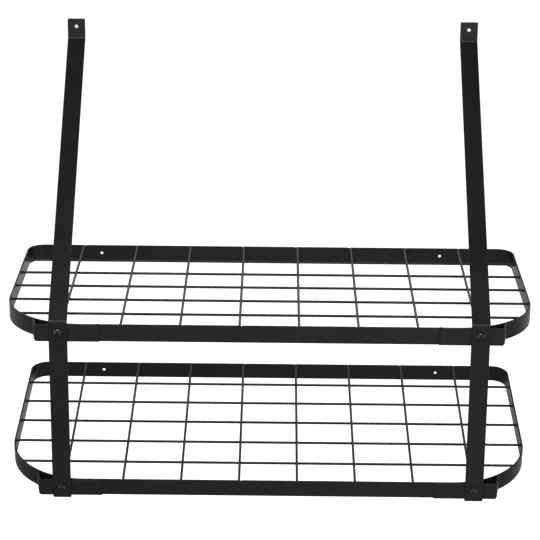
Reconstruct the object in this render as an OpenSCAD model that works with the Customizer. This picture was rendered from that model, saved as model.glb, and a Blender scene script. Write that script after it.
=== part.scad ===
// Hanging pot rack: two flat-bar shelves with wire mats, carried at the front by two bent straps.
// The wall is the plane y = 0 and the rack reaches out from it toward -Y.
// The origin lies on the wall, midway between the two wall holes of the upper shelf.

/* [Shelves] */
// Width of each shelf over its side bands
shelf_w = 600; // [480:5:900]
// Depth of each shelf from the wall to its front face
shelf_d = 280; // [220:5:360]
// Height of the flat bar that forms each shelf's band
band_h = 20; // [17:0.5:30]
// Thickness of the flat bar that forms each shelf's band
band_t = 2; // [1.5:0.5:3]
// Outer radius of the two front corners
front_r = 90; // [80:1:115]
// Outer radius of the two back corners
back_r = 20; // [10:1:40]
// Distance of the lower shelf below the upper one, measured at the wall
shelf_drop = 155.5; // [120:0.5:250]
// Slope of the lower shelf down toward its front, in degrees
lower_slope = 6.8; // [0:0.1:9]

/* [Wall holes] */
// Diameter of the screw holes in the back bands
wall_hole_d = 3.5; // [3:0.5:8]
// Distance of each back-band screw hole in from the shelf's side
wall_hole_inset = 90; // [60:1:140]

/* [Wire mats] */
// Diameter of the mat wires
wire_d = 3; // [2:0.1:4]
// Number of wires that run along the width of each shelf
long_wires = 5; // [3:1:8]
// Number of wires that run from the wall to the front of each shelf
cross_wires = 8; // [4:1:12]

/* [Brackets] */
// Thickness of the bracket plates
bracket_t = 2; // [1.5:0.5:3]
// Length of a bracket plate along the front of the shelf
bracket_len = 72; // [60:1:75]
// Length of a bracket plate that lies on the straight front of the band
bracket_lap = 20; // [15:1:30]
// Outward lean of the flange that runs back from the plate to the curved band, in degrees
flange_lean = 10; // [0:1:15]
// Inner radius of the bend between plate and flange
bracket_bend_r = 1; // [0.5:0.5:3]
// Radius of the rounded lower outer corner of the plate
bracket_corner_r = 2.5; // [1:0.5:4]

/* [Straps] */
// Width of the flat bar that forms each strap
strap_w = 21; // [16:1:26]
// Thickness of the flat bar that forms each strap
strap_t = 2; // [1.5:0.5:4]
// Distance of a strap's centre line in from the outer end of the bracket plate
strap_inset = 27; // [22:1:30]
// Height of the strap's bend at the wall above the top edge of the upper shelf
strap_rise = 261.3; // [150:0.1:400]
// Length of the wall tab above that bend
tab_h = 24; // [18:1:40]
// Diameter of the screw hole in the wall tab
tab_hole_d = 4; // [3:0.5:8]
// Distance of that hole below the top of the tab
tab_hole_drop = 9.5; // [7:0.5:12]
// Inner radius of the strap's bends
strap_bend_r = 3; // [1:0.5:6]
// Height of the strap's lower bends above the top edges of the shelves
strap_bend_gap = 3.2; // [3:0.1:12]
// Length of strap that shows below the lower shelf
strap_overhang = 2; // [0.5:0.5:10]
// Radius of the rounded corners at both ends of a strap
strap_corner_r = 1.5; // [0.5:0.5:4]

/* [Bolts] */
// Diameter of the bolt shanks
bolt_d = 5; // [4:1:6]
// Diameter of the bolt heads
bolt_head_d = 10; // [8:0.5:12]
// Height of the bolt heads at their middle
bolt_head_h = 3.2; // [2.5:0.1:5]
// Height of the straight rim of the bolt heads
bolt_rim_h = 1.2; // [0.8:0.1:2]
// Length of shank that shows behind the bracket plate
bolt_tip = 1.5; // [0.5:0.5:2]
// Distance of the bolts below the top edges of the shelves
bolt_drop = 9; // [8:0.5:10]
// Radial clearance between a bolt and its hole in the strap
bolt_clearance = 0.25; // [0.1:0.05:0.5]
// Width of each slot of the cross recess
recess_w = 1; // [0.8:0.1:1.4]
// Length of each slot of the cross recess
recess_len = 5; // [4:0.1:6]
// Depth of the cross recess
recess_depth = 1.8; // [1:0.1:2.4]

/* [Hidden] */
// Segments of the large shelf corners, of the wires and of the other round shapes
corner_fn = 240;
wire_fn = 32;
round_fn = 48;
// Largest turn of one facet of a bend, in degrees
bend_step = 6;
// Length by which a cutting shape passes the faces that it cuts
cut_past = 1;

// Half of the shelf's width and height
half_w = shelf_w / 2;
half_h = band_h / 2;
// Front faces of the band and of the bracket plates, in either shelf's own frame
band_front_y = -shelf_d;
plate_front_y = band_front_y - bracket_t;
// Middle of each front corner
corner_x = half_w - front_r;
corner_y = front_r - shelf_d;
// Ends of a bracket plate, and the straps' centre line
plate_in_x = corner_x - bracket_lap;
plate_out_x = plate_in_x + bracket_len;
strap_x = plate_out_x - strap_inset;
// Wall holes of a back band
wall_hole_x = half_w - wall_hole_inset;
// The lower shelf's back face rests on the wall with its bottom edge
lower_y = -half_h * sin(lower_slope);
// Height of the bolts above the middle of the band
bolt_z = half_h - bolt_drop;
// Heights of the tab's top, its bend and its hole
tab_bend_z = half_h + strap_rise;
tab_top_z = tab_bend_z + tab_h;
tab_hole_z = tab_top_z - tab_hole_drop;
// The cross wires lie flush with the band's top edge, on top of the long wires
cross_wire_z = half_h - wire_d / 2;
long_wire_z = cross_wire_z - wire_d;
cross_wire_step = (shelf_w - 2 * band_t) / (cross_wires + 1);
long_wire_step = shelf_d / (long_wires + 1);
// Crown radius of a bolt head
crown_h = bolt_head_h - bolt_rim_h;
crown_r = (pow(bolt_head_d / 2, 2) + pow(crown_h, 2)) / (2 * crown_h);

finish_color = [0.14, 0.14, 0.14];
wire_color = [0.1, 0.1, 0.1];
bolt_color = [0.2, 0.2, 0.2];

levels = ["upper", "lower"];
sides = ["left", "right"];

// Slope of a shelf, and a point of its own y-z plane in the rack's y-z plane
function slope_of(level) = level == "lower" ? lower_slope : 0;
function lower_point(y, z) = [
    lower_y + y * cos(lower_slope) - z * sin(lower_slope),
    y * sin(lower_slope) + z * cos(lower_slope) - shelf_drop
];

// Unit vector from p to q, its left normal, and v turned by an angle
function heading(p, q) = (q - p) / norm(q - p);
function left_of(d) = [-d[1], d[0]];
function turned(v, angle) = [v[0] * cos(angle) - v[1] * sin(angle), v[0] * sin(angle) + v[1] * cos(angle)];

// Arc at the path's bend p between headings d and e, moved out to the right by gap.
// The left face's bend radius is r where the path turns left, and r + t where it turns right.
function bend_points(p, d, e, r, t, gap) =
    let (
        angle = atan2(cross(d, e), d * e),
        side = sign(angle),
        left_r = side > 0 ? r : r + t,
        centre = p - d * left_r * tan(abs(angle) / 2) + left_of(d) * side * left_r,
        steps = max(1, ceil(abs(angle) / bend_step))
    )
    [for (i = [0:steps]) centre - turned(left_of(d), angle * i / steps) * side * (left_r + side * gap)];

// One face of a bent bar whose left face follows the path, at a distance gap to the right of it
function face_points(path, r, t, gap) =
    let (
        last = len(path) - 1,
        start = path[0] - left_of(heading(path[0], path[1])) * gap,
        end = path[last] - left_of(heading(path[last - 1], path[last])) * gap,
        bends = [
            for (i = [1:last - 1])
                each bend_points(path[i], heading(path[i - 1], path[i]), heading(path[i], path[i + 1]), r, t, gap)
        ]
    )
    concat([start], bends, [end]);

function reversed(points) = [for (i = [len(points) - 1:-1:0]) points[i]];

// Section of a bar of thickness t, bent with inner radius r, whose left face follows the path
module bent_bar(path, r, t) {
    polygon(concat(face_points(path, r, t, 0), reversed(face_points(path, r, t, t))));
}

// The shelf's outline seen from above, drawn in by inset
module shelf_outline(inset) {
    for (side = [-1, 1]) {
        translate([side * corner_x, corner_y]) circle(front_r - inset, $fn = corner_fn);
        translate([side * (half_w - back_r), -back_r]) circle(back_r - inset, $fn = corner_fn);
    }
    translate([-corner_x, band_front_y + inset]) square([2 * corner_x, shelf_d - 2 * inset]);
    translate([inset - half_w, corner_y]) square([shelf_w - 2 * inset, shelf_d - front_r - back_r]);
    translate([back_r - half_w, corner_y]) square([shelf_w - 2 * back_r, shelf_d - front_r - inset]);
}

// Space inside the band, to which the mat wires are trimmed
module inside_of_band() {
    linear_extrude(band_h + 2 * cut_past, center = true) shelf_outline(band_t);
}

// What it holds is moved to the place of the upper or the lower shelf
module at_shelf(level) {
    if (level == "lower")
        translate([0, lower_y, -shelf_drop]) rotate([lower_slope, 0, 0]) children();
    else
        children();
}

// The left one is the right one mirrored
module on_side(side) {
    mirror([side == "left" ? 1 : 0, 0, 0]) children();
}

// Closed band of flat bar, with two screw holes square to the wall
module band(level) {
    color(finish_color) at_shelf(level) difference() {
        linear_extrude(band_h, center = true) difference() {
            shelf_outline(0);
            shelf_outline(band_t);
        }
        for (side = [-1, 1])
            translate([side * wall_hole_x, 0, 0]) rotate([90 - slope_of(level), 0, 0])
                cylinder(h = 4 * band_t, d = wall_hole_d, center = true, $fn = round_fn);
    }
}

// Wire along the width of the shelf, number i counted from the wall
module long_wire(level, i) {
    color(wire_color) at_shelf(level) intersection() {
        translate([0, -i * long_wire_step, long_wire_z]) rotate([0, 90, 0])
            cylinder(h = shelf_w, d = wire_d, center = true, $fn = wire_fn);
        inside_of_band();
    }
}

// Wire from the wall to the front of the shelf, number i counted from the left
module cross_wire(level, i) {
    color(wire_color) at_shelf(level) intersection() {
        translate([i * cross_wire_step - half_w + band_t, 0, cross_wire_z]) rotate([90, 0, 0])
            cylinder(h = shelf_d, d = wire_d, $fn = wire_fn);
        inside_of_band();
    }
}

// Square corner at the origin, filled outside a round corner of radius r
module corner_waste(r) {
    difference() {
        translate([-cut_past, -cut_past]) square(r + cut_past);
        translate([r, r]) circle(r, $fn = round_fn);
    }
}

// Plate on the front of the band, with a flange that runs back to the curved band
module bracket(level, side) {
    lean = [sin(flange_lean), cos(flange_lean)];
    // The flange's inner face starts at the plate and ends a little inside the curved band
    flange_start = [plate_out_x - bracket_t, band_front_y];
    from_corner = flange_start - [corner_x, corner_y];
    along = from_corner * lean;
    flange_len = -along - sqrt(pow(along, 2) - from_corner * from_corner + pow(front_r, 2));
    flange_end = flange_start + lean * (flange_len + 2 * bracket_t);
    color(finish_color) at_shelf(level) on_side(side) difference() {
        linear_extrude(band_h, center = true)
            bent_bar([[plate_in_x, band_front_y], flange_start, flange_end], bracket_bend_r, bracket_t);
        // The curved band, where the flange ends on it
        intersection() {
            translate([corner_x, corner_y, 0])
                cylinder(h = 2 * band_h, r = front_r, center = true, $fn = corner_fn);
            translate([strap_x, band_front_y + bracket_t + bracket_bend_r, -band_h])
                cube([front_r, front_r, 2 * band_h]);
        }
        // Thread of the bolt
        translate([strap_x, band_front_y, bolt_z]) rotate([90, 0, 0])
            cylinder(h = 4 * bracket_t, d = bolt_d, center = true, $fn = round_fn);
        // Rounded lower outer corner of the plate
        translate([plate_out_x, band_front_y, -half_h]) rotate([90, 0, 0])
            linear_extrude(bracket_t + cut_past) mirror([1, 0]) corner_waste(bracket_corner_r);
    }
}

// One flat bar: wall tab, slanting stay, straight hanger and foot on the lower bracket
module strap(side) {
    path = [
        [0, tab_top_z],
        [0, tab_bend_z],
        [plate_front_y, half_h + strap_bend_gap],
        [plate_front_y, -half_h],
        lower_point(plate_front_y, half_h + strap_bend_gap),
        lower_point(plate_front_y, -half_h - strap_overhang)
    ];
    color(finish_color) on_side(side) translate([strap_x, 0, 0]) difference() {
        rotate([90, 0, 90]) linear_extrude(strap_w, center = true) bent_bar(path, strap_bend_r, strap_t);
        // Screw hole of the wall tab
        translate([0, 0, tab_hole_z]) rotate([90, 0, 0])
            cylinder(h = 4 * strap_t, d = tab_hole_d, center = true, $fn = round_fn);
        for (level = levels)
            at_shelf(level) translate([0, plate_front_y, bolt_z]) rotate([90, 0, 0])
                cylinder(h = 4 * strap_t, r = bolt_d / 2 + bolt_clearance, center = true, $fn = round_fn);
        // Rounded corners of the tab and of the foot
        for (edge = [0, 1]) mirror([edge, 0, 0]) {
            translate([-strap_w / 2, strap_t, tab_top_z]) rotate([90, 0, 0])
                linear_extrude(4 * strap_t) mirror([0, 1]) corner_waste(strap_corner_r);
            at_shelf("lower") translate([-strap_w / 2, plate_front_y + strap_t, -half_h - strap_overhang])
                rotate([90, 0, 0]) linear_extrude(4 * strap_t) corner_waste(strap_corner_r);
        }
    }
}

// Pan-head bolt with a cross recess, its head seated on the strap
module bolt(level, side) {
    shank_len = strap_t + bracket_t + bolt_tip;
    color(bolt_color) at_shelf(level) on_side(side)
        translate([strap_x, plate_front_y - strap_t, bolt_z]) rotate([90, 0, 0]) {
            difference() {
                intersection() {
                    cylinder(h = bolt_head_h + cut_past, d = bolt_head_d, $fn = round_fn);
                    translate([0, 0, bolt_head_h - crown_r]) sphere(crown_r, $fn = 2 * round_fn);
                }
                for (angle = [0, 90])
                    rotate([0, 0, angle]) translate([0, 0, bolt_head_h])
                        cube([recess_len, recess_w, 2 * recess_depth], center = true);
            }
            mirror([0, 0, 1]) cylinder(h = shank_len, d = bolt_d, $fn = round_fn);
        }
}

for (level = levels) {
    band(level);
    for (i = [1:long_wires])
        long_wire(level, i);
    for (i = [1:cross_wires])
        cross_wire(level, i);
    for (side = sides) {
        bracket(level, side);
        bolt(level, side);
    }
}
for (side = sides)
    strap(side);
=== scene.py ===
import math
import random

import bmesh
import bpy
from mathutils import Matrix, Vector


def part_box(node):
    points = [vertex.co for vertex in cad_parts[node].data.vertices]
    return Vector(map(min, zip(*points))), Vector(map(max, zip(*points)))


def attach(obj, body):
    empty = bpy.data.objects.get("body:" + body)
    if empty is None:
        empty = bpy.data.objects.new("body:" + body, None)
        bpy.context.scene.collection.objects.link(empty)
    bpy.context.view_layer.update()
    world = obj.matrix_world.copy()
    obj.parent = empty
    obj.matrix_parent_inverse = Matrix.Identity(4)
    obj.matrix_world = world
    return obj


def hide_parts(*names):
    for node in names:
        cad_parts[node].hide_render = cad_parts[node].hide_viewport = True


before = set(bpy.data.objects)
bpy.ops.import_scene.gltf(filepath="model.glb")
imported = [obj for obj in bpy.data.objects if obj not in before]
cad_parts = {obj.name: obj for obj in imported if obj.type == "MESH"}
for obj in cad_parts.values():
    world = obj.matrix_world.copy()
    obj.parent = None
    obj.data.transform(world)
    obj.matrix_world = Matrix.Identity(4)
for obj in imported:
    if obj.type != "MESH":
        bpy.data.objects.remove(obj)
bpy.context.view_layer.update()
bpy.context.scene.view_settings.view_transform = "Standard"

MM = 0.001

# ---------------------------------------------------------------- sizes, worked out from the frame

LEVELS = ("upper", "lower")
SIDES = {"left": -1, "right": 1}


def centre(node):
    low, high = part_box(node)
    return (low + high) / 2


band_low, band_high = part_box("upper_band")
HALF_W = band_high.x
DEPTH = -band_low.y
HALF_H = band_high.z
BAND_T = -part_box("upper_cross_wire_4")[1].y
FRONT_R = 90 * MM
BACK_R = 20 * MM
CORNER_X = HALF_W - FRONT_R
CORNER_Y = FRONT_R - DEPTH

wire_low, wire_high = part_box("upper_long_wire_1")
WIRE_R = (wire_high.z - wire_low.z) / 2
LONG_WIRES = sum(name.startswith("upper_long_wire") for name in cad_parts)
CROSS_WIRES = sum(name.startswith("upper_cross_wire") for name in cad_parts)
LONG_Y = [centre(f"upper_long_wire_{i + 1}").y for i in range(LONG_WIRES)]
LONG_Z = centre("upper_long_wire_1").z
CROSS_X = [centre(f"upper_cross_wire_{i + 1}").x for i in range(CROSS_WIRES)]
CROSS_Z = LONG_Z + 2 * WIRE_R

plate_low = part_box("upper_right_bracket")[0]
PLATE_IN_X = plate_low.x
PLATE_T = -DEPTH - plate_low.y
PLATE_OUT_X = 262 * MM
PLATE_BEND_R = 1 * MM
PLATE_CORNER_R = 3.6 * MM
# How fast the rounded corner of a bracket runs out along its flange
CORNER_FADE = 0.22
FLANGE_LEAN = math.radians(10)

strap_low, strap_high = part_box("right_strap")
STRAP_X = centre("right_strap").x
STRAP_W = strap_high.x - strap_low.x
STRAP_T = 2 * MM
STRAP_BEND_R = 3 * MM
STRAP_CORNER_R = 1.5 * MM
TAB_TOP = strap_high.z
TAB_BEND = TAB_TOP - 24 * MM
TAB_HOLE = TAB_TOP - 9.5 * MM
BEND_GAP = 3.2 * MM
OVERHANG = 2 * MM

WALL_HOLE_X = HALF_W - 90 * MM
WALL_HOLE_R = 1.75 * MM
TAB_HOLE_R = 2 * MM

BOLT_Z = HALF_H - 9 * MM
BOLT_R = 2.5 * MM
HEAD_R = 5 * MM
HEAD_H = 3.17 * MM
HEAD_RIM = 1.2 * MM
BOLT_TIP = 1.5 * MM
BOLT_CHAMFER = 0.5 * MM
RECESS_W = 1.1 * MM
RECESS_LEN = 5 * MM
RECESS_DEPTH = 1.9 * MM
RECESS_FOOT_R = 0.8 * MM
RECESS_TURN = math.radians(20)
DOME_STEPS = 10
# The rounded rim between dome and side of a bolt's head: (inset, rise over HEAD_RIM) of its points, in mm
HEAD_ROUNDING = ((0.34, 0.27), (0.14, 0.04), (0.03, -0.24), (0, -0.55))
HEAD_CHAMFER = 0.2 * MM

# Softened edges under the coat, and the rims of the holes
BAND_EDGE_R = 0.35 * MM
BRACKET_EDGE_R = 0.55 * MM
STRAP_EDGE_R = 0.6 * MM
HOLE_RIM = 0.3 * MM

# The press marks beside the cross wires, and how far the wires reach into the bands
MARK_R = 3 * MM
MARK_ASIDE = WIRE_R + 0.4 * MM
MARK_DEPTHS = (0.3, 0.7)
WIRE_SINK = 0.5 * MM

# Upright seams: how far each stops short of the bar's edges, its width and its height
BACK_SEAM = (1.7 * MM, 2.6 * MM, 0.25 * MM)
BRACKET_SEAM = (2 * MM, 1.4 * MM, 0.25 * MM)
FLANGE_SEAM = (1 * MM, 1.6 * MM, 0.5 * MM)
# The short run beside a bracket's seam: its width, its height and the pitch of its ripples
SHORT_RUN = (1.5 * MM, 0.7 * MM, 0.6 * MM)
# Half the length of a ripple, in pitches, and how far it may lie aside, in widths
RIPPLE_REACH, RIPPLE_ASIDE = 1.9, 0.06

# Points that are closer than this are one point
SAME_POINT = 0.001 * MM
# How far a cutter passes the faces that it cuts
CUT_PAST = 2 * MM
# The least turn between two faces that makes a sharp edge
SHARP_ANGLE = math.radians(50)
# The most degrees between two faces that are shaded as one: on bars, and on lumps of weld
BAR_LIMIT, WELD_LIMIT = 40, 80
DICE = random.Random(11)

# The lower shelf is the upper one turned about X and lowered: its long wires give the turn
first_wire, last_wire = centre("lower_long_wire_1"), centre(f"lower_long_wire_{LONG_WIRES}")
SLOPE = math.atan2(first_wire.z - last_wire.z, first_wire.y - last_wire.y)
sloped = Matrix.Rotation(SLOPE, 4, "X")
lowered = Matrix.Translation(first_wire - sloped @ Vector((0, LONG_Y[0], LONG_Z)))
PLACE = {"upper": Matrix.Identity(4), "lower": lowered @ sloped}

# ---------------------------------------------------------------- camera

FOCAL_PX = 2000.0
PHOTO_PX = 540
CAMERA_AT = Vector((6.4, -2358.0, 795.3)) * MM
CAMERA_YAW = -0.0030
CAMERA_PITCH = 0.3332
CAMERA_ROLL = 0.009
SENSOR_MM = 36


def make_camera():
    forward = Vector((
        math.sin(CAMERA_YAW) * math.cos(CAMERA_PITCH),
        math.cos(CAMERA_YAW) * math.cos(CAMERA_PITCH),
        -math.sin(CAMERA_PITCH),
    ))
    level = Vector((math.cos(CAMERA_YAW), -math.sin(CAMERA_YAW), 0))
    upright = level.cross(forward)
    right = math.cos(CAMERA_ROLL) * level + math.sin(CAMERA_ROLL) * upright
    up = math.cos(CAMERA_ROLL) * upright - math.sin(CAMERA_ROLL) * level
    camera = bpy.data.objects.new("camera", bpy.data.cameras.new("camera"))
    camera.data.sensor_width = SENSOR_MM
    camera.data.sensor_fit = "HORIZONTAL"
    camera.data.lens = FOCAL_PX / PHOTO_PX * SENSOR_MM
    camera.data.clip_end = 50
    turn = Matrix((right, up, -forward)).transposed().to_4x4()
    camera.matrix_world = Matrix.Translation(CAMERA_AT) @ turn
    bpy.context.scene.collection.objects.link(camera)
    bpy.context.scene.camera = camera


make_camera()

# ---------------------------------------------------------------- shader helpers


class Nodes:
    """A node tree with short calls for adding nodes and linking them."""

    def __init__(self, tree):
        self.tree = tree

    def add(self, kind, inputs=None, **settings):
        node = self.tree.nodes.new(kind)
        for name, value in settings.items():
            setattr(node, name, value)
        for name, value in (inputs or {}).items():
            if isinstance(value, bpy.types.NodeSocket):
                self.tree.links.new(value, node.inputs[name])
            else:
                node.inputs[name].default_value = value
        return node

    def link(self, a, b):
        self.tree.links.new(a, b)

    def math(self, operation, a, b=0.0, c=0.0, clamp=False):
        return self.add("ShaderNodeMath", {0: a, 1: b, 2: c}, operation=operation, use_clamp=clamp).outputs[0]

    def noise(self, vector, scale, detail=2.0, roughness=0.5):
        node = self.add("ShaderNodeTexNoise", {"Scale": scale, "Detail": detail, "Roughness": roughness})
        self.link(vector, node.inputs["Vector"])
        return node.outputs["Fac"]

    def spread(self, value, low, high, to_low=0.0, to_high=1.0):
        return self.add("ShaderNodeMapRange", {
            "Value": value, "From Min": low, "From Max": high, "To Min": to_low, "To Max": to_high,
        }).outputs["Result"]


def group_tree(name, inputs, outputs):
    tree = bpy.data.node_groups.new(name, "ShaderNodeTree")
    for label, kind, value in inputs:
        socket = tree.interface.new_socket(label, in_out="INPUT", socket_type=kind)
        socket.default_value = value
    for label, kind in outputs:
        tree.interface.new_socket(label, in_out="OUTPUT", socket_type=kind)
    nodes = Nodes(tree)
    return nodes, nodes.add("NodeGroupInput"), nodes.add("NodeGroupOutput")


# Noise scales of the coat per metre, and the depths of its two reliefs
PEEL_SCALE, PEBBLE_SCALE, DRIFT_SCALE, DUST_SCALE = 420, 2600, 26, 900
PEEL_DEPTH, PEBBLE_DEPTH = 0.05 * MM, 0.02 * MM
# The middle stretch of a noise, which holds nearly all of its values
NOISE_LOW, NOISE_HIGH = 0.3, 0.7


def powder_coat_group():
    """The cured coat: slow orange-peel waves, a fine pebble, faint colour drift and specks of dust."""
    nodes, given, out = group_tree(
        "powder coat",
        [
            ("Color", "NodeSocketColor", (0.02, 0.02, 0.02, 1)),
            ("Roughness", "NodeSocketFloat", 0.45),
            ("Peel", "NodeSocketFloat", 0.35),
            ("Pebble", "NodeSocketFloat", 0.25),
        ],
        [("Color", "NodeSocketColor"), ("Roughness", "NodeSocketFloat"), ("Normal", "NodeSocketVector")],
    )
    place = nodes.add("ShaderNodeTexCoord").outputs["Object"]
    peel = nodes.noise(place, PEEL_SCALE, 2, 0.45)
    pebble = nodes.noise(place, PEBBLE_SCALE, 2, 0.6)
    drift = nodes.noise(place, DRIFT_SCALE, 3, 0.55)
    dust = nodes.noise(place, DUST_SCALE, 1, 0.4)
    tone = nodes.spread(drift, NOISE_LOW, NOISE_HIGH, 0.9, 1.12)
    specks = nodes.spread(dust, 0.72, 0.8, 0.0, 0.35)
    brighter = nodes.math("ADD", tone, specks)
    toned = nodes.add("ShaderNodeVectorMath", {0: given.outputs["Color"]}, operation="SCALE")
    nodes.link(brighter, toned.inputs["Scale"])
    nodes.link(toned.outputs["Vector"], out.inputs["Color"])
    rough = nodes.math(
        "ADD", given.outputs["Roughness"], nodes.spread(drift, NOISE_LOW, NOISE_HIGH, -0.04, 0.04),
    )
    rough = nodes.math("ADD", rough, nodes.spread(pebble, NOISE_LOW, NOISE_HIGH, -0.03, 0.05), clamp=True)
    nodes.link(rough, out.inputs["Roughness"])
    waves = nodes.add("ShaderNodeBump", {
        "Strength": given.outputs["Peel"], "Distance": PEEL_DEPTH, "Height": peel,
    })
    grain = nodes.add("ShaderNodeBump", {
        "Strength": given.outputs["Pebble"], "Distance": PEBBLE_DEPTH, "Height": pebble,
        "Normal": waves.outputs["Normal"],
    })
    nodes.link(grain.outputs["Normal"], out.inputs["Normal"])
    return nodes.tree


POWDER_COAT = powder_coat_group()


def coated(name, color, roughness, specular, peel=0.35, pebble=0.25):
    material = bpy.data.materials.new(name)
    material.use_nodes = True
    nodes = Nodes(material.node_tree)
    shader = material.node_tree.nodes["Principled BSDF"]
    coat = nodes.add("ShaderNodeGroup", node_tree=POWDER_COAT)
    coat.inputs["Color"].default_value = (*color, 1)
    coat.inputs["Roughness"].default_value = roughness
    coat.inputs["Peel"].default_value = peel
    coat.inputs["Pebble"].default_value = pebble
    nodes.link(coat.outputs["Color"], shader.inputs["Base Color"])
    nodes.link(coat.outputs["Roughness"], shader.inputs["Roughness"])
    nodes.link(coat.outputs["Normal"], shader.inputs["Normal"])
    shader.inputs["Specular IOR Level"].default_value = specular
    return material


BAND_COAT = coated("band coat", (0.0078, 0.0078, 0.008), 0.42, 0.35)
STRAP_COAT = coated("strap coat", (0.0062, 0.0062, 0.0064), 0.34, 0.35)
WIRE_COAT = coated("wire coat", (0.006, 0.006, 0.0062), 0.26, 0.4, peel=0.25)
WELD_COAT = coated("weld coat", (0.008, 0.008, 0.0082), 0.36, 0.4, peel=0.6, pebble=0.4)
BOLT_COAT = coated("bolt coat", (0.009, 0.009, 0.0093), 0.2, 0.6, peel=0.15, pebble=0.2)

# ---------------------------------------------------------------- mesh helpers


def weighted_normals(data, limit):
    """Shades a face corner by the faces that meet there, in proportion to their areas, so flats stay flat."""
    meeting = [[] for _ in data.vertices]
    for face in data.polygons:
        for vertex in face.vertices:
            meeting[vertex].append((face.normal.copy(), face.area))
    normals = []
    for face in data.polygons:
        for vertex in face.vertices:
            total = Vector()
            for normal, area in meeting[vertex]:
                if normal.dot(face.normal) > math.cos(math.radians(limit)):
                    total += normal * area
            normals.append(total.normalized() if total.length_squared > 0 else face.normal.copy())
    data.normals_split_custom_set(normals)


def outward(mesh):
    """Turns a closed mesh's faces outward: its volume, taken with its sign, then comes out above zero."""
    if mesh.calc_volume(signed=True) < 0:
        bmesh.ops.reverse_faces(mesh, faces=mesh.faces[:])
    return mesh


def finish_piece(mesh, name, material, replaces=(), place=None, limit=BAR_LIMIT):
    """Makes the bmesh a piece of the rack: placed, facing outward, smoothly shaded and riding on the body."""
    if place is not None:
        mesh.transform(place)
    outward(mesh)
    data = bpy.data.meshes.new(name)
    mesh.to_mesh(data)
    mesh.free()
    data.materials.append(material)
    data.shade_smooth()
    weighted_normals(data, limit)
    piece = bpy.data.objects.new(name, data)
    bpy.context.scene.collection.objects.link(piece)
    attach(piece, "root")
    if replaces:
        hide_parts(*replaces)


def joined(*parts):
    """One bmesh of all the parts, which are used up."""
    whole = outward(parts[0])
    for part in parts[1:]:
        data = bpy.data.meshes.new("part")
        outward(part).to_mesh(data)
        part.free()
        whole.from_mesh(data)
        bpy.data.meshes.remove(data)
    return whole


def cut(body_mesh, cutter_mesh):
    """The body with the cutter taken away from it, by an exact boolean."""
    objects = []
    for mesh in (body_mesh, cutter_mesh):
        solid = bpy.data.objects.new("solid", bpy.data.meshes.new("solid"))
        outward(mesh).to_mesh(solid.data)
        mesh.free()
        bpy.context.scene.collection.objects.link(solid)
        objects.append(solid)
    body, cutter = objects
    modifier = body.modifiers.new("cut", "BOOLEAN")
    modifier.object = cutter
    modifier.solver = "EXACT"
    bpy.context.view_layer.update()
    evaluated = body.evaluated_get(bpy.context.evaluated_depsgraph_get())
    result = bmesh.new()
    result.from_mesh(evaluated.to_mesh())
    evaluated.to_mesh_clear()
    for solid in objects:
        bpy.data.objects.remove(solid)
    return result


def rod(start, end, radius, segments=24):
    """A closed cylinder from start to end."""
    mesh = bmesh.new()
    start, end = Vector(start), Vector(end)
    turn = (end - start).to_track_quat("Z", "Y").to_matrix().to_4x4()
    bmesh.ops.create_cone(
        mesh, cap_ends=True, segments=segments, radius1=radius, radius2=radius, depth=(end - start).length,
        matrix=Matrix.Translation((start + end) / 2) @ turn,
    )
    return mesh


def lathed(profile, segments=48):
    """A closed solid of revolution about Z, from (radius, height) points that start and end on the axis."""
    mesh = bmesh.new()
    points = [mesh.verts.new((radius, 0, height)) for radius, height in profile]
    edges = [mesh.edges.new(pair) for pair in zip(points, points[1:])]
    bmesh.ops.spin(
        mesh, geom=points + edges, cent=(0, 0, 0), axis=(0, 0, 1), angle=2 * math.pi, steps=segments,
        use_merge=True,
    )
    bmesh.ops.remove_doubles(mesh, verts=mesh.verts[:], dist=SAME_POINT)
    bmesh.ops.recalc_face_normals(mesh, faces=mesh.faces)
    return mesh


def lump(at, size, detail=(8, 6)):
    """A weld lump: a ball of a few faces drawn out to the three half-sizes."""
    mesh = bmesh.new()
    stretch = Matrix.Diagonal((*size, 1))
    bmesh.ops.create_uvsphere(
        mesh, u_segments=detail[0], v_segments=detail[1], radius=1, matrix=Matrix.Translation(at) @ stretch,
    )
    return mesh


def drawn(mesh, ring, by):
    """Draws the open section out along a straight stretch and returns its far end."""
    edges = [item for item in ring if isinstance(item, bmesh.types.BMEdge)]
    made = bmesh.ops.extrude_edge_only(mesh, edges=edges)["geom"]
    far = [item for item in made if isinstance(item, (bmesh.types.BMVert, bmesh.types.BMEdge))]
    bmesh.ops.translate(mesh, verts=[item for item in far if isinstance(item, bmesh.types.BMVert)], vec=by)
    return far


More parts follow.
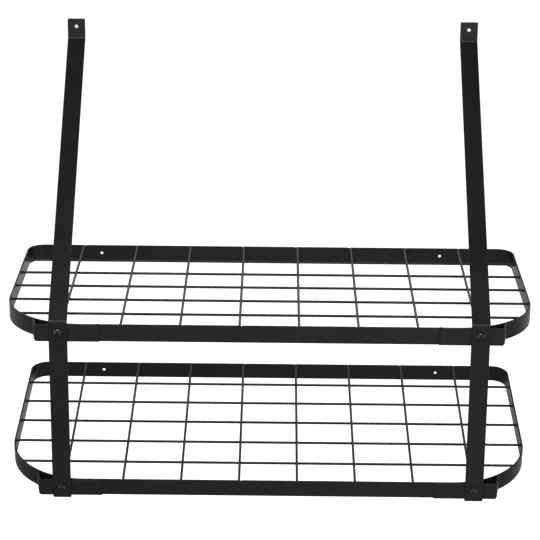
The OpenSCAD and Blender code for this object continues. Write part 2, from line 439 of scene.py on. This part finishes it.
def flat_bar(path, axis, width, thickness, inner_r, step=5):
    """A flat bar bent about the axis, with its left face on the path.

    There is one inner radius for each bend, and the step is the most degrees that one segment turns.
    """
    mesh = bmesh.new()
    heading = (path[1] - path[0]).normalized()
    left = axis.cross(heading)
    section = Matrix((axis * width, left * thickness, heading)).transposed().to_4x4()
    section.translation = path[0] - left * thickness / 2
    bmesh.ops.create_grid(mesh, x_segments=1, y_segments=1, size=0.5, matrix=section)
    bmesh.ops.delete(mesh, geom=mesh.faces[:], context="FACES_ONLY")
    ring = mesh.verts[:] + mesh.edges[:]
    at = path[0]
    for corner, after, inner in zip(path[1:], path[2:], inner_r):
        turned = (after - corner).normalized()
        angle = math.atan2(axis.dot(heading.cross(turned)), heading.dot(turned))
        radius = inner if angle > 0 else inner + thickness
        back = heading * radius * math.tan(abs(angle) / 2)
        ring = drawn(mesh, ring, corner - back - at)
        middle = corner - back + axis.cross(heading) * math.copysign(radius, angle)
        steps = max(1, math.ceil(math.degrees(abs(angle)) / step))
        ring = bmesh.ops.spin(
            mesh, geom=ring, cent=middle, axis=axis, angle=angle, steps=steps,
        )["geom_last"]
        at = corner + turned * back.length
        heading = turned
    drawn(mesh, ring, path[-1] - at)
    if (path[-1] - path[0]).length < SAME_POINT:
        bmesh.ops.remove_doubles(mesh, verts=mesh.verts[:], dist=SAME_POINT)
    else:
        bmesh.ops.holes_fill(mesh, edges=mesh.edges[:], sides=0)
    bmesh.ops.recalc_face_normals(mesh, faces=mesh.faces)
    return mesh


def soften(mesh, radius, segments=3):
    """Rounds every sharp edge, as the rolled bar's and the sheared plate's edges are under the coat."""
    sharp = [edge for edge in mesh.edges if edge.calc_face_angle(0) > SHARP_ANGLE]
    bmesh.ops.bevel(
        mesh, geom=sharp, offset=radius, segments=segments, profile=0.5, affect="EDGES", material=-1,
        clamp_overlap=True,
    )


def round_ends(mesh, thickness, radius):
    """Rounds the corners of a bar's two ends, seen square to its face."""
    ends = [face for face in mesh.faces if all(edge.calc_face_angle(0) > SHARP_ANGLE for edge in face.edges)]
    corners = {
        edge for face in ends if len(face.edges) == 4 for edge in face.edges
        if abs(edge.calc_length() - thickness) < 0.01 * MM
    }
    bmesh.ops.bevel(
        mesh, geom=list(corners), offset=radius, segments=5, profile=0.5, affect="EDGES", material=-1,
    )


def hole_cutter(at, direction, radius, thickness):
    """Cutter of a drilled hole whose rims are softened on both faces of a bar."""
    half = thickness / 2
    past = half + CUT_PAST
    rim = radius + HOLE_RIM
    mesh = lathed([
        (0, -past), (rim, -past), (rim, -half), (radius, HOLE_RIM - half),
        (radius, half - HOLE_RIM), (rim, half), (rim, past), (0, past),
    ], 40)
    mesh.transform(Matrix.Translation(at) @ direction.to_track_quat("Z", "Y").to_matrix().to_4x4())
    return mesh


# ---------------------------------------------------------------- light and surroundings

EVEN_LIGHT = 0.45
# What the world shows to mirror rays: behind the rack at the foot, in a band and above it, and in front
BACKDROP_LOW = 0.12
BACKDROP_BAND = 0.85
BACKDROP_HIGH = 0.1
FRONT_LOW = 0.25
FRONT_HIGH = 0.06
# Where these pass into each other, as parts of the ray's direction along Y and Z
FRONT_TO_BACK = (-0.1, 0.6)
FOOT_TO_BAND = (0.1, 0.3)
ABOVE_TO_BAND = (0.52, 0.36)
FLOOR_Z = -0.75
FLOOR_HALF = 20
FLOOR_SEEN = 0.7
PAPER = (0.9, 0.9, 0.9, 1)
BLACK = (0, 0, 0, 1)
WHITE = (1, 1, 1, 1)
# What the floor shows to mirror rays: a first value, and the changes to it as (from, to, change) along Y
FLOOR_MIRRORED = 0.18
FLOOR_CHANGES = (
    (-2.8, -4.4, 1.4), (-1.8, -1.3, 0.65), (-1.1, -0.75, -0.74), (-0.5, -0.2, 0.2),
    (0.2, 1.2, 0.45), (1.6, 2.1, 0.36), (3.0, 4.5, -0.98),
)
# The share of it that is left along X: less on the near left, more on the near right
FLOOR_LEFT = 0.6
FLOOR_SIDEWAYS = ((-0.6, 0.6, 0.65), (-1.1, -1.8, 0.42), (0.9, 1.5, -0.25))
RACK_MIDDLE = (0, -0.15, 0)


def ray_kinds(nodes):
    """Two switches: one for mirror rays, and one for rays that the camera sees directly or through glass."""
    rays = nodes.add("ShaderNodeLightPath")
    seen = nodes.math("MAXIMUM", rays.outputs["Is Camera Ray"], rays.outputs["Is Transmission Ray"])
    return rays.outputs["Is Glossy Ray"], seen


def stepped(nodes, along, first, changes):
    """A value that starts at the first number and changes over each stretch of the coordinate."""
    value = first
    for start, end, change in changes:
        value = nodes.math("ADD", value, nodes.spread(along, start, end, 0.0, change))
    return value


def make_world():
    """White to the camera; even to diffuse rays; to mirror rays a bright band low behind, dim elsewhere."""
    world = bpy.context.scene.world or bpy.data.worlds.new("studio")
    bpy.context.scene.world = world
    world.use_nodes = True
    world.node_tree.nodes.clear()
    nodes = Nodes(world.node_tree)
    direction = nodes.add("ShaderNodeSeparateXYZ", {0: nodes.add("ShaderNodeTexCoord").outputs["Generated"]})
    behind = nodes.spread(direction.outputs["Y"], *FRONT_TO_BACK)
    below = nodes.spread(direction.outputs["Z"], *ABOVE_TO_BAND)
    rising = nodes.spread(direction.outputs["Z"], *FOOT_TO_BAND, BACKDROP_LOW, BACKDROP_BAND)
    backdrop = nodes.math("MULTIPLY_ADD", below, nodes.math("SUBTRACT", rising, BACKDROP_HIGH), BACKDROP_HIGH)
    front = nodes.math("MULTIPLY_ADD", below, FRONT_LOW - FRONT_HIGH, FRONT_HIGH)
    mirrored = nodes.math("MULTIPLY_ADD", behind, nodes.math("SUBTRACT", backdrop, front), front)
    glossy, seen = ray_kinds(nodes)
    lit = nodes.math("MULTIPLY_ADD", glossy, nodes.math("SUBTRACT", mirrored, EVEN_LIGHT), EVEN_LIGHT)
    strength = nodes.math("MULTIPLY_ADD", seen, nodes.math("SUBTRACT", 1.0, lit), lit)
    background = nodes.add("ShaderNodeBackground", {"Color": WHITE, "Strength": strength})
    out = nodes.add("ShaderNodeOutputWorld")
    nodes.link(background.outputs[0], out.inputs["Surface"])


def softbox(name, at, size, power, aim=RACK_MIDDLE, mirrored=True):
    """A rectangular lamp that is turned towards its aim and hidden from the camera."""
    lamp = bpy.data.lights.new(name, "AREA")
    lamp.shape = "RECTANGLE"
    lamp.size, lamp.size_y = size
    lamp.energy = power
    box = bpy.data.objects.new(name, lamp)
    box.location = at
    box.rotation_euler = (Vector(aim) - Vector(at)).to_track_quat("-Z", "Y").to_euler()
    box.visible_camera = False
    box.visible_glossy = mirrored
    bpy.context.scene.collection.objects.link(box)


def make_floor():
    """Pale paper that is white to the camera and keeps the shadow; to mirror rays it is lit in zones."""
    mesh = bmesh.new()
    level = Matrix.Translation((0, 0, FLOOR_Z))
    bmesh.ops.create_grid(mesh, x_segments=1, y_segments=1, size=FLOOR_HALF, matrix=level)
    data = bpy.data.meshes.new("floor")
    mesh.to_mesh(data)
    mesh.free()
    material = bpy.data.materials.new("floor paper")
    material.use_nodes = True
    nodes = Nodes(material.node_tree)
    shader = material.node_tree.nodes["Principled BSDF"]
    shader.inputs["Roughness"].default_value = 0.9
    shader.inputs["Specular IOR Level"].default_value = 0.1
    glossy, seen = ray_kinds(nodes)
    paper = nodes.add("ShaderNodeMix", {"Factor": glossy, "A": PAPER, "B": BLACK}, data_type="RGBA")
    nodes.link(paper.outputs["Result"], shader.inputs["Base Color"])
    place = nodes.add("ShaderNodeSeparateXYZ", {0: nodes.add("ShaderNodeTexCoord").outputs["Object"]})
    mirrored = nodes.math(
        "MULTIPLY",
        stepped(nodes, place.outputs["Y"], FLOOR_MIRRORED, FLOOR_CHANGES),
        stepped(nodes, place.outputs["X"], FLOOR_LEFT, FLOOR_SIDEWAYS),
    )
    strength = nodes.math("MULTIPLY_ADD", mirrored, glossy, nodes.math("MULTIPLY", seen, FLOOR_SEEN))
    shader.inputs["Emission Color"].default_value = WHITE
    nodes.link(strength, shader.inputs["Emission Strength"])
    data.materials.append(material)
    floor = bpy.data.objects.new("floor", data)
    bpy.context.scene.collection.objects.link(floor)


make_world()
make_floor()
softbox("key box", (-0.2, -1.9, 2.0), (2.0, 0.7), 31)
softbox("top box", (0.3, -0.3, 2.2), (1.8, 1.4), 12, mirrored=False)
softbox("left box", (-2.2, -1.2, 0.6), (0.9, 1.6), 13)
softbox("right box", (2.2, -1.0, 0.6), (0.9, 1.6), 7)
softbox("back box", (0, 2.0, 1.35), (3.0, 0.6), 2, aim=(0, -0.15, -0.1))

# ---------------------------------------------------------------- pieces

X_AXIS, Y_AXIS, Z_AXIS = Vector((1, 0, 0)), Vector((0, 1, 0)), Vector((0, 0, 1))


def shelf_band(level):
    """The closed band: flat bar bent round the four corners, with wall holes and press marks at the wires."""
    path = [
        Vector(point) for point in (
            (0, 0, 0), (HALF_W, 0, 0), (HALF_W, -DEPTH, 0), (-HALF_W, -DEPTH, 0), (-HALF_W, 0, 0), (0, 0, 0),
        )
    ]
    inner = [BACK_R - BAND_T, FRONT_R - BAND_T, FRONT_R - BAND_T, BACK_R - BAND_T]
    mesh = flat_bar(path, Z_AXIS, 2 * HALF_H, BAND_T, inner, step=2.5)
    soften(mesh, BAND_EDGE_R)
    square_to_wall = PLACE[level].inverted().to_3x3() @ Y_AXIS
    for side in SIDES.values():
        hole = Vector((side * WALL_HOLE_X, -BAND_T / 2, 0))
        mesh = cut(mesh, hole_cutter(hole, square_to_wall, WALL_HOLE_R, BAND_T))
    marks = []
    through = 4 * BAND_T * Y_AXIS
    for x in CROSS_X:
        for y in (-BAND_T / 2, band_front(x) + BAND_T / 2):
            aside = DICE.choice((-1, 1)) * MARK_ASIDE
            depth = DICE.uniform(*MARK_DEPTHS) * MM
            middle = Vector((x + aside, y, HALF_H + MARK_R - depth))
            marks.append(rod(middle - through, middle + through, MARK_R, 40))
    mesh = cut(mesh, joined(*marks))
    finish_piece(mesh, f"{level}_band_bar", BAND_COAT, [f"{level}_band"], PLACE[level])


def band_front(x, inset=0):
    """Y of the band's front at the given x: of its outer face, or as far behind it as the inset says."""
    past = max(0.0, abs(x) - CORNER_X)
    return CORNER_Y - math.sqrt((FRONT_R - inset) ** 2 - past ** 2)


def band_side(y):
    """X of the band's inner face at its right side, at the given y."""
    past = max(0.0, CORNER_Y - y)
    return CORNER_X + math.sqrt((FRONT_R - BAND_T) ** 2 - past ** 2)


def mat_wires(level):
    """The wires of one shelf, each a drawn round wire that ends just inside the band's inner face."""
    for i, y in enumerate(LONG_Y, 1):
        reach = band_side(y) + WIRE_SINK
        mesh = rod((-reach, y, LONG_Z), (reach, y, LONG_Z), WIRE_R)
        node = f"{level}_long_wire_{i}"
        finish_piece(mesh, f"{node}_drawn", WIRE_COAT, [node], PLACE[level])
    for i, x in enumerate(CROSS_X, 1):
        reach = band_front(x, BAND_T) - WIRE_SINK
        mesh = rod((x, WIRE_SINK - BAND_T, CROSS_Z), (x, reach, CROSS_Z), WIRE_R)
        node = f"{level}_cross_wire_{i}"
        finish_piece(mesh, f"{node}_drawn", WIRE_COAT, [node], PLACE[level])


def mat_welds(level):
    """The small resistance welds: a pressed nugget at each crossing and a collar at each wire end."""
    parts = []
    # The nuggets between crossing wires
    for y in LONG_Y:
        for x in CROSS_X:
            wide = DICE.uniform(1.05, 1.3) * WIRE_R
            aside = Vector((DICE.uniform(-1, 1), DICE.uniform(-1, 1), 0)) * 0.15 * MM
            size = (wide, DICE.uniform(1.05, 1.3) * WIRE_R, 0.55 * WIRE_R)
            parts.append(lump(Vector((x, y, CROSS_Z - WIRE_R)) + aside, size))
    # The collars where long wires meet the sides of the band
    for y in LONG_Y:
        for side in SIDES.values():
            wide = DICE.uniform(1.2, 1.55) * WIRE_R
            aside = DICE.uniform(-0.3, 0.3) * MM
            at = Vector((side * (band_side(y) - 0.1 * MM), y + aside, LONG_Z - 0.2 * MM))
            parts.append(lump(at, (DICE.uniform(1.2, 2.0) * MM, wide, DICE.uniform(1.2, 1.5) * WIRE_R)))
    # The collars where cross wires meet its back and its front
    for x in CROSS_X:
        for y in (-BAND_T - 0.1 * MM, band_front(x, BAND_T) + 0.1 * MM):
            tall = DICE.uniform(1.0, 1.2) * WIRE_R
            at = Vector((x + DICE.uniform(-0.3, 0.3) * MM, y, HALF_H - tall - 0.1 * MM))
            parts.append(lump(at, (DICE.uniform(1.2, 1.6) * WIRE_R, DICE.uniform(0.8, 1.4) * MM, tall)))
    finish_welds(joined(*parts), f"{level}_mat_welds", level)


def finish_welds(mesh, name, level):
    """Makes the bmesh a piece of weld metal, which stands for no node of the frame."""
    finish_piece(mesh, name, WELD_COAT, place=PLACE[level], limit=WELD_LIMIT)


def weld_bead(start, end, across, out, width, height, pitch=1.0 * MM):
    """A row of overlapping lumps from start to end, like the ripples of a short welded seam."""
    along = (end - start).normalized()
    count = max(2, round((end - start).length / pitch))
    turn = Matrix((across, along, out)).transposed().to_4x4()
    parts = []
    for i in range(count + 1):
        size = DICE.uniform(0.9, 1.1)
        part = lump(Vector(), (width / 2 * size, RIPPLE_REACH * pitch, height * size), (12, 10))
        aside = across * DICE.uniform(-RIPPLE_ASIDE, RIPPLE_ASIDE) * width
        at = start.lerp(end, i / count) + aside
        part.transform(Matrix.Translation(at) @ turn)
        parts.append(part)
    return joined(*parts)


def upright_seam(middle, across, out, short, width, height):
    """A bead up a bar, through the point half way up, that stops short of both edges of the bar."""
    reach = (HALF_H - short) * Z_AXIS
    return weld_bead(middle - reach, middle + reach, across, out, width, height)


def back_seam(level):
    """The butt weld where the bar closes on itself, dressed almost flat on the band's inner face."""
    mesh = upright_seam(Vector((0, -BAND_T, 0)), X_AXIS, -Y_AXIS, *BACK_SEAM)
    finish_welds(mesh, f"{level}_back_seam", level)


def bracket_path(side):
    """The bracket's inner face seen from above: along the band's front, then back to the curved band."""
    lean = Vector((side * math.sin(FLANGE_LEAN), math.cos(FLANGE_LEAN), 0))
    start = Vector((side * (PLATE_OUT_X - PLATE_T), -DEPTH, 0))
    off = start - Vector((side * CORNER_X, CORNER_Y, 0))
    along = off.dot(lean)
    reach = -along - math.sqrt(along ** 2 - off.length_squared + FRONT_R ** 2)
    return [Vector((side * PLATE_IN_X, -DEPTH, 0)), start, start + lean * (reach + PLATE_T)]


def bracket(level, side_name):
    """A sheared and folded plate; its lower outer corner is rounded, and both ends are welded to the band."""
    side = SIDES[side_name]
    mesh = flat_bar(bracket_path(1), Z_AXIS, 2 * HALF_H, PLATE_T, [PLATE_BEND_R])
    soften(mesh, BRACKET_EDGE_R, 4)
    # The cutter is a box less a rod, sheared so that the rounding runs out from the plate along the flange
    corner = bmesh.new()
    low_x, high_x = PLATE_OUT_X - PLATE_CORNER_R, PLATE_OUT_X + CUT_PAST
    low_z, high_z = -HALF_H - CUT_PAST, PLATE_CORNER_R - HALF_H
    front, back = -2 * PLATE_T, 9 * PLATE_T
    box = Matrix.Diagonal((high_x - low_x, back - front, high_z - low_z, 1))
    middle = Matrix.Translation(((low_x + high_x) / 2, (front + back) / 2, (low_z + high_z) / 2))
    bmesh.ops.create_cube(corner, size=1, matrix=middle @ box)
    keep = rod((low_x, 2 * front, high_z), (low_x, 2 * back, high_z), PLATE_CORNER_R, 64)
    corner = cut(corner, keep)
    fading = Matrix.Identity(4)
    fading[0][1], fading[2][1] = CORNER_FADE, -CORNER_FADE
    corner.transform(Matrix.Translation((0, -DEPTH - PLATE_T, 0)) @ fading)
    mesh = cut(mesh, corner)
    mesh.transform(Matrix.Diagonal((side, 1, 1, 1)))
    node = f"{level}_{side_name}_bracket"
    finish_piece(mesh, f"{node}_plate", BAND_COAT, [node], PLACE[level])


def bracket_welds(level, side_name):
    """The welds that hold a bracket: at its inner end, and where its flange meets the curved band.

    The inner seam ends in a wide nub over the top edge and a small one below, with a short run beside it.
    """
    side = SIDES[side_name]
    inner = Vector((side * (PLATE_IN_X - 0.1 * MM), -DEPTH - 0.1 * MM, 0))
    slant = Vector((-side, -1, 0)).normalized()
    seam = upright_seam(inner, Z_AXIS.cross(slant), slant, *BRACKET_SEAM)
    top = Vector((side * (PLATE_IN_X + DICE.uniform(0.2, 1.8) * MM), -DEPTH - 0.6 * MM, HALF_H))
    nubs = [
        lump(top, (DICE.uniform(1.8, 2.6) * MM, 1.3 * MM, 1.25 * MM), (16, 10)),
        lump(inner - HALF_H * Z_AXIS, (0.9 * MM, 1 * MM, 0.4 * MM), (12, 8)),
    ]
    start = Vector((side * PLATE_IN_X + DICE.uniform(-1, 1) * MM, -DEPTH - 0.2 * MM, DICE.uniform(2, 5) * MM))
    drop = Vector((-side, 0, -DICE.uniform(0.4, 0.9))) * DICE.uniform(1.5, 2.5) * MM
    across = -Y_AXIS.cross(drop.normalized())
    run = weld_bead(start, start + drop, across, -Y_AXIS, *SHORT_RUN)
    bend, end = bracket_path(side)[1:]
    lean = (end - bend).normalized()
    out = Vector((side * lean.y, -side * lean.x, 0))
    flange = upright_seam(end + PLATE_T * out + 0.2 * MM * lean, lean, out, *FLANGE_SEAM)
    finish_welds(joined(seam, flange, run, *nubs), f"{level}_{side_name}_welds", level)


def strap(side_name):
    """One bent flat bar: wall tab, slanting stay, hanger and foot, with rounded ends and drilled holes."""
    x = SIDES[side_name] * STRAP_X
    back = -DEPTH - PLATE_T
    lower_top = PLACE["lower"] @ Vector((0, back, HALF_H + BEND_GAP))
    lower_end = PLACE["lower"] @ Vector((0, back, -HALF_H - OVERHANG))
    heights = [(0, TAB_TOP), (0, TAB_BEND), (back, HALF_H + BEND_GAP), (back, -HALF_H)]
    path = [Vector((x, y, z)) for y, z in heights + [lower_top.yz, lower_end.yz]]
    mesh = flat_bar(path, X_AXIS, STRAP_W, STRAP_T, [STRAP_BEND_R] * 4)
    round_ends(mesh, STRAP_T, STRAP_CORNER_R)
    soften(mesh, STRAP_EDGE_R, 4)
    cutters = [hole_cutter(Vector((x, -STRAP_T / 2, TAB_HOLE)), Y_AXIS, TAB_HOLE_R, STRAP_T)]
    for level in LEVELS:
        at = PLACE[level] @ Vector((x, back - STRAP_T / 2, BOLT_Z))
        cutters.append(hole_cutter(at, PLACE[level].to_3x3() @ Y_AXIS, BOLT_R, STRAP_T))
    mesh = cut(mesh, joined(*cutters))
    finish_piece(mesh, f"{side_name}_strap_bar", STRAP_COAT, [f"{side_name}_strap"])


def bolt(level, side_name):
    """A pan-head machine screw with a tapered cross recess, its shank chamfered at the tip."""
    crown = HEAD_H - HEAD_RIM
    crown_r = (HEAD_R ** 2 + crown ** 2) / (2 * crown)
    sweep = math.asin(HEAD_R / crown_r)
    turns = [sweep * i / DOME_STEPS for i in range(DOME_STEPS - 1)]
    dome = [(crown_r * math.sin(turn), HEAD_H - crown_r * (1 - math.cos(turn))) for turn in turns]
    rim = [(HEAD_R - inset * MM, HEAD_RIM + rise * MM) for inset, rise in HEAD_ROUNDING]
    foot = [(HEAD_R, HEAD_CHAMFER), (HEAD_R - HEAD_CHAMFER, 0)]
    tip = -STRAP_T - PLATE_T - BOLT_TIP
    shank = [(BOLT_R, 0), (BOLT_R, tip + BOLT_CHAMFER), (BOLT_R - BOLT_CHAMFER, tip), (0, tip)]
    mesh = lathed(dome + rim + foot + shank)
    tall = RECESS_DEPTH + 1 * MM
    rise = Matrix.Translation((0, 0, HEAD_H - RECESS_DEPTH + tall / 2))
    narrow = Matrix.Diagonal((1, RECESS_W / RECESS_LEN, 1, 1))
    for turn in (0, math.pi / 2):
        wing = bmesh.new()
        bmesh.ops.create_cone(
            wing, cap_ends=True, segments=4, radius1=RECESS_FOOT_R, radius2=RECESS_LEN / 2 * math.sqrt(2),
            depth=tall, matrix=Matrix.Rotation(math.pi / 4, 4, "Z"),
        )
        wing.transform(rise @ Matrix.Rotation(turn + RECESS_TURN, 4, "Z") @ narrow)
        mesh = cut(mesh, wing)
    seat = Vector((SIDES[side_name] * STRAP_X, -DEPTH - PLATE_T - STRAP_T, BOLT_Z))
    spin = Matrix.Rotation(DICE.uniform(0, math.pi / 2), 4, "Z")
    mesh.transform(Matrix.Translation(seat) @ Matrix.Rotation(math.pi / 2, 4, "X") @ spin)
    node = f"{level}_{side_name}_bolt"
    finish_piece(mesh, f"{node}_screw", BOLT_COAT, [node], PLACE[level])


for level in LEVELS:
    shelf_band(level)
    mat_wires(level)
    mat_welds(level)
    back_seam(level)
    for side_name in SIDES:
        bracket(level, side_name)
        bracket_welds(level, side_name)
        bolt(level, side_name)
for side_name in SIDES:
    strap(side_name)
print("scene: pieces built")
